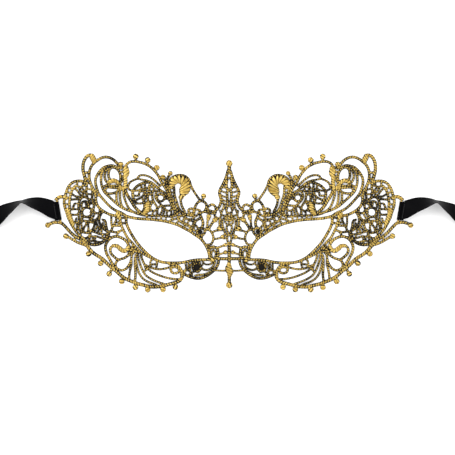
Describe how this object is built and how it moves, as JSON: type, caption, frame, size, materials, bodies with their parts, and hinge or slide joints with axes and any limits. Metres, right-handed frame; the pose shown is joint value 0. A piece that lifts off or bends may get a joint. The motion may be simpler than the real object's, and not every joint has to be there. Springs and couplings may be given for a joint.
{
  "type": "venetian masquerade mask",
  "caption": "Flat openwork lace half-mask for the eyes, stitched in gold over black, with a black satin ribbon on each temple to tie behind the head.",
  "frame": {"origin": "under the middle of the lace, on the surface the mask lies on", "axes": "+X to the viewer's right along the mask, +Y toward the forehead, +Z out of the front of the mask"},
  "size_m": [0.429, 0.0904, 0.0123],
  "materials": {
    "gold_cord": "metallic gold thread in satin stitch, black showing between the stitches",
    "gold_net": "metallic gold thread over black, thinner and darker",
    "dark_thread": "black thread with little gold",
    "black_satin": "satin sheen",
    "black_thread": "matt thread"
  },
  "bodies": {
    "lace": {"forehead_finial": "gold_cord", "nose_stem": "gold_cord", "nose_ribs_left": "gold_cord", "nose_ribs_right": "gold_cord", "eye_corner_ring_left": "gold_cord", "eye_corner_ring_right": "gold_cord", "eye_corner_leaf_left": "gold_net", "eye_corner_leaf_right": "gold_net", "nose_scrolls_left": "gold_cord", "nose_scrolls_right": "gold_cord", "brow_plume_left": "gold_cord", "brow_plume_right": "gold_cord", "brow_arch_left": "gold_cord", "brow_arch_right": "gold_cord", "brow_veil_left": "gold_cord", "brow_veil_right": "gold_cord", "brow_net_left": "gold_net", "brow_net_right": "gold_net", "brow_sweeps_left": "gold_cord", "brow_sweeps_right": "gold_cord", "rose_curl_left": "gold_cord", "rose_curl_right": "gold_cord", "temple_scroll_left": "gold_cord", "temple_scroll_right": "gold_cord", "temple_loop_left": "gold_cord", "temple_loop_right": "gold_cord", "shell_rim_left": "gold_cord", "shell_rim_right": "gold_cord", "shell_net_upper_left": "gold_net", "shell_net_upper_right": "gold_net", "shell_net_lower_left": "gold_net", "shell_net_lower_right": "gold_net", "ribbon_arm_left": "gold_cord", "ribbon_arm_right": "gold_cord", "ribbon_hook_left": "gold_cord", "ribbon_hook_right": "gold_cord", "ribbon_bar_left": "dark_thread", "ribbon_bar_right": "dark_thread", "eye_rim_upper_left": "gold_cord", "eye_rim_upper_right": "gold_cord", "eye_rim_lower_left": "gold_cord", "eye_rim_lower_right": "gold_cord", "temple_knots_left": "gold_net", "temple_knots_right": "gold_net", "cheek_curl_left": "gold_cord", "cheek_curl_right": "gold_cord", "feather_rays_left": "gold_cord", "feather_rays_right": "gold_cord", "lower_edge_left": "gold_cord", "lower_edge_right": "gold_cord"},
    "ribbon_left": {"ribbon_turn_left": "black_satin", "ribbon_tack_left": "black_thread", "ribbon_strip_left": "black_satin", "ribbon_roll_left": "black_satin"},
    "ribbon_right": {"ribbon_turn_right": "black_satin", "ribbon_tack_right": "black_thread", "ribbon_strip_right": "black_satin", "ribbon_roll_right": "black_satin"}
  },
  "joints": [
    {"name": "ribbon_swing_left", "type": "hinge", "parent": "lace", "child": "ribbon_left", "pos_m": [-0.11085, 0.00775, 0.00135], "axis": [-0.1655, 0.9862, 0], "range_deg": [0, 130]},
    {"name": "ribbon_swing_right", "type": "hinge", "parent": "lace", "child": "ribbon_right", "pos_m": [0.11085, 0.00775, 0.00135], "axis": [-0.1655, -0.9862, 0], "range_deg": [0, 130]}
  ]
}
